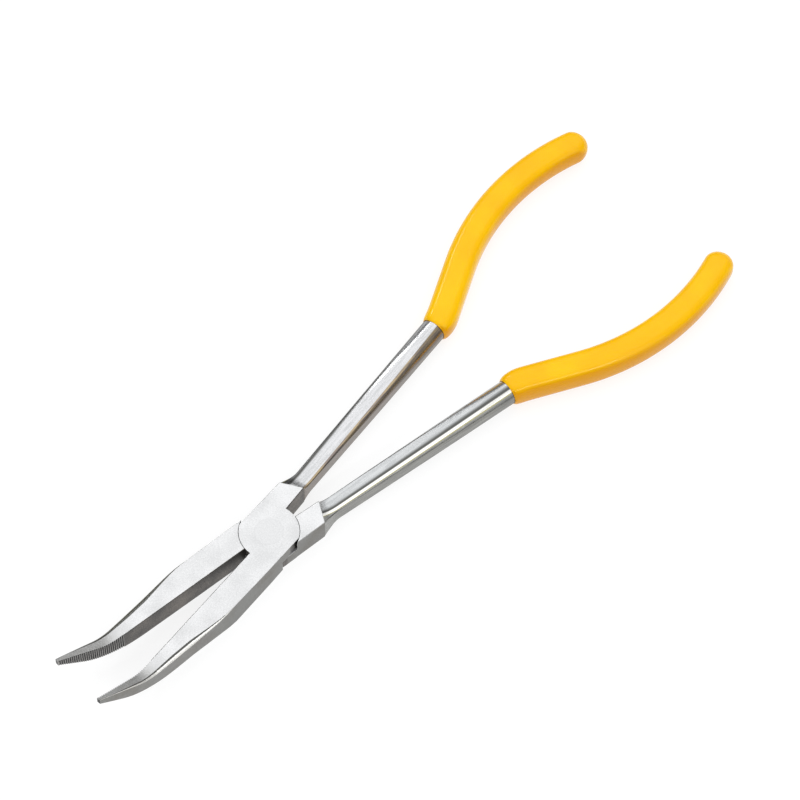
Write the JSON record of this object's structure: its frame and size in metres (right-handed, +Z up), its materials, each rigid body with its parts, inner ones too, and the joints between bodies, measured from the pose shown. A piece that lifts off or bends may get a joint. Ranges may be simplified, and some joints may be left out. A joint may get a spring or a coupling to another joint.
{
  "type": "needle nose pliers",
  "caption": "Long-reach needle nose pliers with a bent, serrated nose, a lap joint, slim round shanks and bowed dipped grips.",
  "frame": {"origin": "on the pivot's axis, at the flat underside of the lap joint", "axes": "+Y along the tool's middle line from the pivot to the grips, +Z up through the joint towards the side that the nose bends to, +X towards the lower half's grip"},
  "size_m": [0.0882, 0.277, 0.0243],
  "materials": {
    "forged_steel": "satin, ground flat on the joint faces",
    "rivet_steel": "ground flush with the joint faces",
    "grip_plastic": "glossy dipped vinyl"
  },
  "bodies": {
    "upper_half": {"upper_lap_half": "forged_steel", "pivot_rivet": "rivet_steel", "upper_half_grip": "grip_plastic"},
    "lower_half": {"lower_lap_half": "forged_steel", "lower_half_grip": "grip_plastic"}
  },
  "joints": [
    {"name": "pivot", "type": "hinge", "parent": "upper_half", "child": "lower_half", "pos_m": [0, 0, 0], "axis": [0, 0, -1], "range_deg": [-12, 30]}
  ]
}
